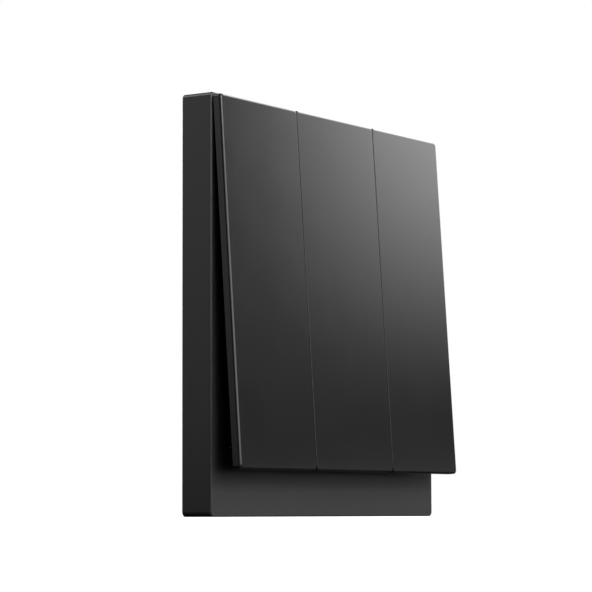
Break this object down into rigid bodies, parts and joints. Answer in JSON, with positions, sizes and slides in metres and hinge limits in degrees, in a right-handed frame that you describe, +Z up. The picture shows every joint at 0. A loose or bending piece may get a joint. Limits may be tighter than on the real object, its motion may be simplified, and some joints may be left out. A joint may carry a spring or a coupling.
{
  "type": "rocker wall switch",
  "caption": "Square charcoal wall plate with tall tilting rocker panels over a bare lower strip, with its yoke, housing, bearings, contacts and screw terminals.",
  "frame": {"origin": "centre of the plate on the wall plane, midway between the two fixing slots", "axes": "+X to the right seen from the front, +Y into the wall, +Z up; the rockers face -Y"},
  "size_m": [0.086, 0.0277, 0.086],
  "materials": {
    "frame_plastic": "charcoal moulded polycarbonate, fine satin texture",
    "rocker_plastic": "charcoal moulded polycarbonate, smooth satin",
    "carrier_plastic": "grey moulded nylon",
    "deck_plastic": "dark moulded polycarbonate",
    "housing_plastic": "light flame-retardant nylon",
    "yoke_steel": "zinc-plated pressed steel",
    "screw_steel": "zinc-plated steel",
    "pad_rubber": "soft moulded rubber",
    "plunger_acetal": "natural acetal",
    "spring_steel": "drawn spring wire",
    "bridge_copper": "rolled copper strip",
    "contact_silver": "silver alloy rivets",
    "terminal_brass": "drawn and drilled brass"
  },
  "bodies": {
    "base": {"face_frame": "frame_plastic", "mounting_yoke": "yoke_steel", "mechanism_housing": "housing_plastic", "bearing_deck": "deck_plastic", "deck_screws": "screw_steel", "stop_pads": "pad_rubber", "terminal_screws": "screw_steel", "fixed_contacts_left": "contact_silver", "fixed_contacts_middle": "contact_silver", "fixed_contacts_right": "contact_silver", "common_terminal_left": "terminal_brass", "common_terminal_middle": "terminal_brass", "common_terminal_right": "terminal_brass", "upper_terminal_left": "terminal_brass", "upper_terminal_middle": "terminal_brass", "upper_terminal_right": "terminal_brass", "lower_terminal_left": "terminal_brass", "lower_terminal_middle": "terminal_brass", "lower_terminal_right": "terminal_brass"},
    "rocker_left": {"rocker_cap_left": "rocker_plastic", "rocker_carrier_left": "carrier_plastic", "plunger_spring_left": "spring_steel"},
    "plunger_left": {"plunger_left": "plunger_acetal"},
    "bridge_left": {"contact_bridge_left": "bridge_copper", "moving_contacts_left": "contact_silver"},
    "rocker_middle": {"rocker_cap_middle": "rocker_plastic", "rocker_carrier_middle": "carrier_plastic", "plunger_spring_middle": "spring_steel"},
    "plunger_middle": {"plunger_middle": "plunger_acetal"},
    "bridge_middle": {"contact_bridge_middle": "bridge_copper", "moving_contacts_middle": "contact_silver"},
    "rocker_right": {"rocker_cap_right": "rocker_plastic", "rocker_carrier_right": "carrier_plastic", "plunger_spring_right": "spring_steel"},
    "plunger_right": {"plunger_right": "plunger_acetal"},
    "bridge_right": {"contact_bridge_right": "bridge_copper", "moving_contacts_right": "contact_silver"}
  },
  "joints": [
    {"name": "rocker_left_tilt", "type": "hinge", "parent": "base", "child": "rocker_left", "pos_m": [-0.015, -0.0032, 0.004], "axis": [1, 0, 0], "range_deg": [0, 7.3]},
    {"name": "bridge_left_tilt", "type": "hinge", "parent": "base", "child": "bridge_left", "pos_m": [-0.015, 0.00578, 0.004], "axis": [1, 0, 0], "range_deg": [-20.1, 0]},
    {"name": "plunger_left_press", "type": "slide", "parent": "rocker_left", "child": "plunger_left", "axis": [0, -0.9979, 0.064], "range_m": [0, 0.0006], "stiffness_N_per_m": 600, "springref_m": -0.0005, "deforming": ["plunger_spring_left"]},
    {"name": "rocker_middle_tilt", "type": "hinge", "parent": "base", "child": "rocker_middle", "pos_m": [0, -0.0032, 0.004], "axis": [1, 0, 0], "range_deg": [0, 7.3]},
    {"name": "bridge_middle_tilt", "type": "hinge", "parent": "base", "child": "bridge_middle", "pos_m": [0, 0.00578, 0.004], "axis": [1, 0, 0], "range_deg": [-20.1, 0]},
    {"name": "plunger_middle_press", "type": "slide", "parent": "rocker_middle", "child": "plunger_middle", "axis": [0, -0.9979, 0.064], "range_m": [0, 0.0006], "stiffness_N_per_m": 600, "springref_m": -0.0005, "deforming": ["plunger_spring_middle"]},
    {"name": "rocker_right_tilt", "type": "hinge", "parent": "base", "child": "rocker_right", "pos_m": [0.015, -0.0032, 0.004], "axis": [1, 0, 0], "range_deg": [0, 7.3]},
    {"name": "bridge_right_tilt", "type": "hinge", "parent": "base", "child": "bridge_right", "pos_m": [0.015, 0.00578, 0.004], "axis": [1, 0, 0], "range_deg": [-20.1, 0]},
    {"name": "plunger_right_press", "type": "slide", "parent": "rocker_right", "child": "plunger_right", "axis": [0, -0.9979, 0.064], "range_m": [0, 0.0006], "stiffness_N_per_m": 600, "springref_m": -0.0005, "deforming": ["plunger_spring_right"]}
  ],
  "couplings": [
    {"joint": "bridge_left_tilt", "follows": "rocker_left_tilt", "ratio": -2.7397},
    {"joint": "bridge_middle_tilt", "follows": "rocker_middle_tilt", "ratio": -2.7397},
    {"joint": "bridge_right_tilt", "follows": "rocker_right_tilt", "ratio": -2.7397}
  ]
}
